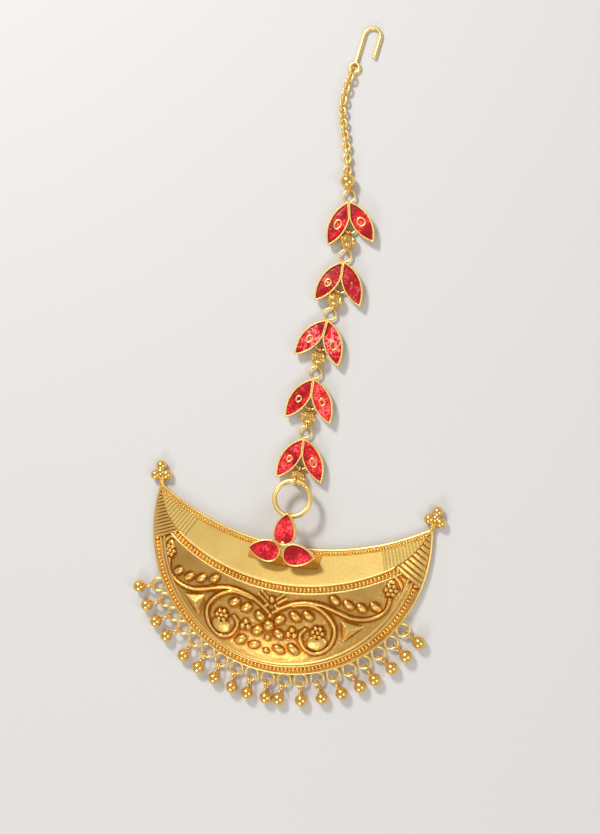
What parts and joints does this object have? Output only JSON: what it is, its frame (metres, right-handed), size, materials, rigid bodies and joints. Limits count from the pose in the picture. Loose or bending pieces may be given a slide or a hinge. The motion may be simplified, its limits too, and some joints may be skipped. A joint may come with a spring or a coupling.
{
  "type": "maang tikka",
  "caption": "Crescent head ornament with ball drops, a flower on its inner edge and a strand of enamelled leaf pairs up to a hair hook.",
  "frame": {"origin": "middle of the bottom of the bounding box, on the surface that the ornament lies on", "axes": "+Z out of the front of the pendant, +Y along the strand from the crescent to the hair hook, +X to the right seen from the front"},
  "size_m": [0.077, 0.1731, 0.0088],
  "materials": {
    "gold": "polished gold plate over brass, darker in the recesses",
    "red_enamel": "glossy translucent red enamel"
  },
  "bodies": {
    "root": {"bead_link_0": "gold", "bead_link_1": "gold", "bead_link_2": "gold", "bead_link_3": "gold", "bead_link_4": "gold", "bead_link_5": "gold", "big_ring": "gold", "chain": "gold", "crescent": "gold", "drop_01": "gold", "drop_02": "gold", "drop_03": "gold", "drop_04": "gold", "drop_05": "gold", "drop_06": "gold", "drop_07": "gold", "drop_08": "gold", "drop_09": "gold", "drop_10": "gold", "drop_11": "gold", "drop_12": "gold", "drop_13": "gold", "drop_14": "gold", "drop_15": "gold", "drop_16": "gold", "drop_17": "gold", "drop_18": "gold", "drop_19": "gold", "flower_enamel_left": "red_enamel", "flower_enamel_right": "red_enamel", "flower_enamel_top": "red_enamel", "hair_hook": "gold", "leaf_enamel_1_left": "red_enamel", "leaf_enamel_1_right": "red_enamel", "leaf_enamel_2_left": "red_enamel", "leaf_enamel_2_right": "red_enamel", "leaf_enamel_3_left": "red_enamel", "leaf_enamel_3_right": "red_enamel", "leaf_enamel_4_left": "red_enamel", "leaf_enamel_4_right": "red_enamel", "leaf_enamel_5_left": "red_enamel", "leaf_enamel_5_right": "red_enamel", "leaf_frame_1": "gold", "leaf_frame_2": "gold", "leaf_frame_3": "gold", "leaf_frame_4": "gold", "leaf_frame_5": "gold"}
  },
  "joints": []
}
